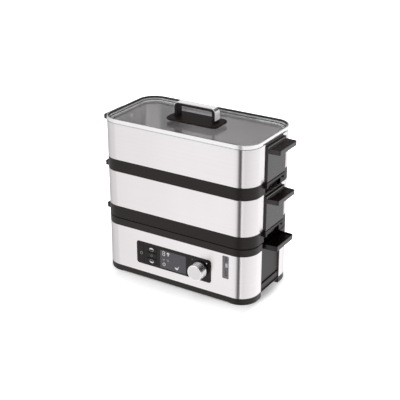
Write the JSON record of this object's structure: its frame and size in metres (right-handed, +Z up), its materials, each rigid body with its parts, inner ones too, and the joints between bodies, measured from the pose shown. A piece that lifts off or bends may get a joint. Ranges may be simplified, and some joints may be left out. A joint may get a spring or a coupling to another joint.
{
  "type": "electric food steamer",
  "caption": "Slim electric food steamer: heated base with control panel and water gauge, stacking steel containers with end handles and a glass lid.",
  "frame": {"origin": "middle of the plane the feet stand on, under the middle of the body outline", "axes": "+X along the long side towards the water gauge, -Y towards the control panel, +Z up"},
  "size_m": [0.3606, 0.1787, 0.3225],
  "materials": {
    "brushed_steel": "brushed along the length",
    "polished_steel": "polished",
    "satin_metal": "satin",
    "screw_steel": "plain",
    "black_plastic": "fine satin grain",
    "gloss_black": "high gloss",
    "display_grey": "tinted window, unlit",
    "dark_silicone": "matte",
    "lid_glass": "clear",
    "clear_window": "clear moulded",
    "pale_plastic": "smooth",
    "grey_plastic": "smooth",
    "circuit_board": "solder mask"
  },
  "bodies": {
    "base": {"base_pan": "black_plastic", "base_rim": "black_plastic", "base_screws": "screw_steel", "board_screws": "screw_steel", "button_switches": "black_plastic", "control_board": "circuit_board", "control_panel": "gloss_black", "cord_gland": "black_plastic", "display_lens": "display_grey", "display_module": "display_grey", "encoder": "satin_metal", "foot_pads": "dark_silicone", "front_shell": "brushed_steel", "gauge_housing": "grey_plastic", "gauge_lens": "clear_window", "gland_nut": "black_plastic", "heater_plate": "satin_metal", "heater_seal": "dark_silicone", "heating_tube": "satin_metal", "indicator_lights": "pale_plastic", "left_end_panel": "black_plastic", "left_filler_scoop": "black_plastic", "rear_shell": "brushed_steel", "right_end_panel": "black_plastic", "right_filler_scoop": "black_plastic", "steam_collar": "grey_plastic", "thermal_fuse": "pale_plastic", "thermostat": "satin_metal", "water_basin": "brushed_steel"},
    "lower_container": {"lower_ring": "black_plastic", "lower_wall": "brushed_steel", "lower_floor": "brushed_steel", "lower_left_handle": "black_plastic", "lower_right_handle": "black_plastic", "lower_handle_screws": "screw_steel"},
    "upper_container": {"upper_ring": "black_plastic", "upper_wall": "brushed_steel", "upper_floor": "brushed_steel", "upper_left_handle": "black_plastic", "upper_right_handle": "black_plastic", "upper_handle_screws": "screw_steel"},
    "lid": {"lid_gasket": "dark_silicone", "lid_glass": "lid_glass", "lid_handle_bridge": "black_plastic", "lid_handle_plate": "black_plastic", "lid_handle_screws": "screw_steel", "lid_handle_trim": "brushed_steel", "lid_handle_washers": "screw_steel", "lid_liner": "dark_silicone", "lid_rim": "polished_steel"},
    "selector": {"selector_knob": "polished_steel", "knob_face": "satin_metal", "knob_shaft": "satin_metal"},
    "power_key": {"power_button": "gloss_black"},
    "upper_tier_key": {"upper_tier_button": "gloss_black"},
    "start_key": {"start_button": "gloss_black"},
    "lower_tier_key": {"lower_tier_button": "gloss_black"},
    "water_float": {"gauge_float": "pale_plastic"}
  },
  "joints": [
    {"name": "lower_container_lift", "type": "slide", "parent": "base", "child": "lower_container", "axis": [0, 0, 1], "range_m": [0, 0.12]},
    {"name": "upper_container_lift", "type": "slide", "parent": "lower_container", "child": "upper_container", "axis": [0, 0, 1], "range_m": [0, 0.12]},
    {"name": "lid_lift", "type": "slide", "parent": "upper_container", "child": "lid", "axis": [0, 0, 1], "range_m": [0, 0.12]},
    {"name": "selector_turn", "type": "hinge", "parent": "base", "child": "selector", "pos_m": [0.0558, -0.0786, 0.0508], "axis": [0, 1, 0], "continuous": true},
    {"name": "power_press", "type": "slide", "parent": "base", "child": "power_key", "axis": [0, 1, 0], "range_m": [0, 0.001], "stiffness_N_per_m": 1500},
    {"name": "upper_tier_press", "type": "slide", "parent": "base", "child": "upper_tier_key", "axis": [0, 1, 0], "range_m": [0, 0.001], "stiffness_N_per_m": 1500},
    {"name": "start_press", "type": "slide", "parent": "base", "child": "start_key", "axis": [0, 1, 0], "range_m": [0, 0.001], "stiffness_N_per_m": 1500},
    {"name": "lower_tier_press", "type": "slide", "parent": "base", "child": "lower_tier_key", "axis": [0, 1, 0], "range_m": [0, 0.001], "stiffness_N_per_m": 1500},
    {"name": "float_rise", "type": "slide", "parent": "base", "child": "water_float", "axis": [0, 0, 1], "range_m": [-0.014, 0.011]}
  ]
}
